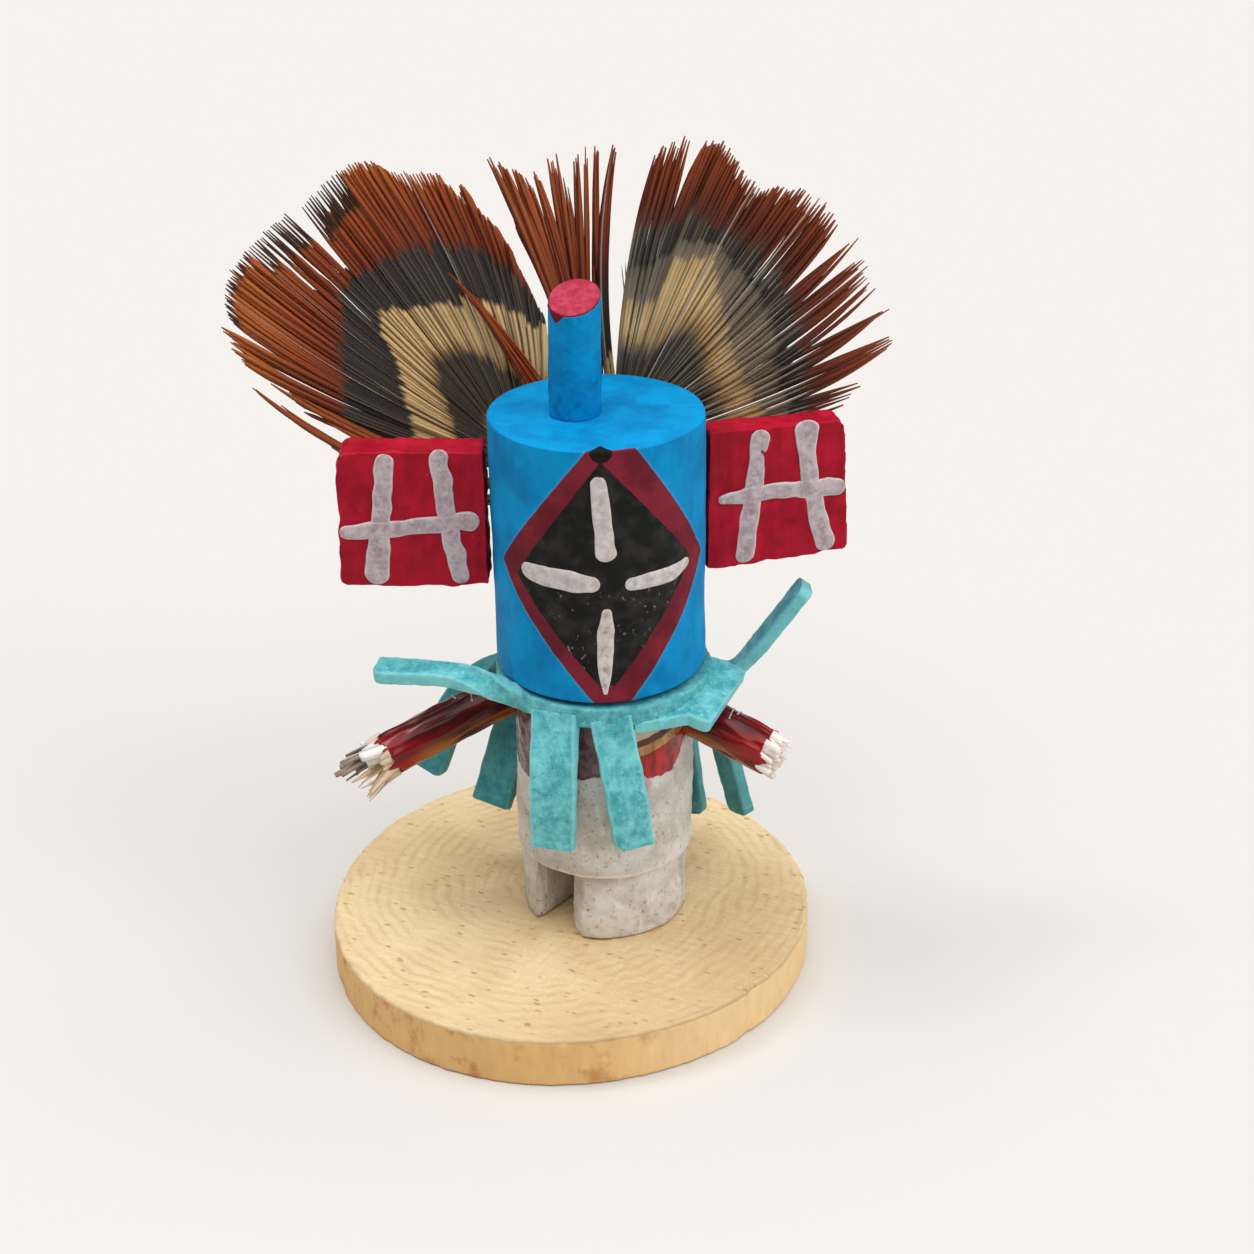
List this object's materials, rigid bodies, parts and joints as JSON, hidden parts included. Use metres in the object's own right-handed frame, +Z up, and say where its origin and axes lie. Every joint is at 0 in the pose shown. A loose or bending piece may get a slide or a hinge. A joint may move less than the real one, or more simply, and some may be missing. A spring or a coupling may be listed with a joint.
{
  "type": "small carved kachina doll",
  "caption": "Miniature carved and painted kachina doll with a horned cylinder head, side tablets, feather fan and fringed leather collar, on a wood slice.",
  "frame": {"origin": "centre of the wood slice's underside", "axes": "+Z up, the doll faces -Y, +X is the viewer's right"},
  "size_m": [0.0601, 0.0462, 0.076],
  "materials": {
    "bare_wood": "raw sawn branch wood with growth rings",
    "body_paint": "mottled grey-white wash over wood, red and purple above",
    "blue_paint": "satin blue paint on turned wood",
    "red_paint": "satin crimson paint with raised white strokes",
    "lacquered_twig": "glossy dark red lacquer, bare splintered ends",
    "turquoise_leather": "dyed, cut leather with pale edges",
    "feather": "pheasant barbs, chestnut, black and tan"
  },
  "bodies": {
    "root": {"base_slice": "bare_wood", "body": "body_paint", "head": "blue_paint", "horn": "blue_paint", "wing_left": "red_paint", "wing_right": "red_paint", "arm_left": "lacquered_twig", "arm_right": "lacquered_twig", "leather_collar": "turquoise_leather", "feather_left": "feather", "feather_middle": "feather", "feather_right": "feather"}
  },
  "joints": []
}
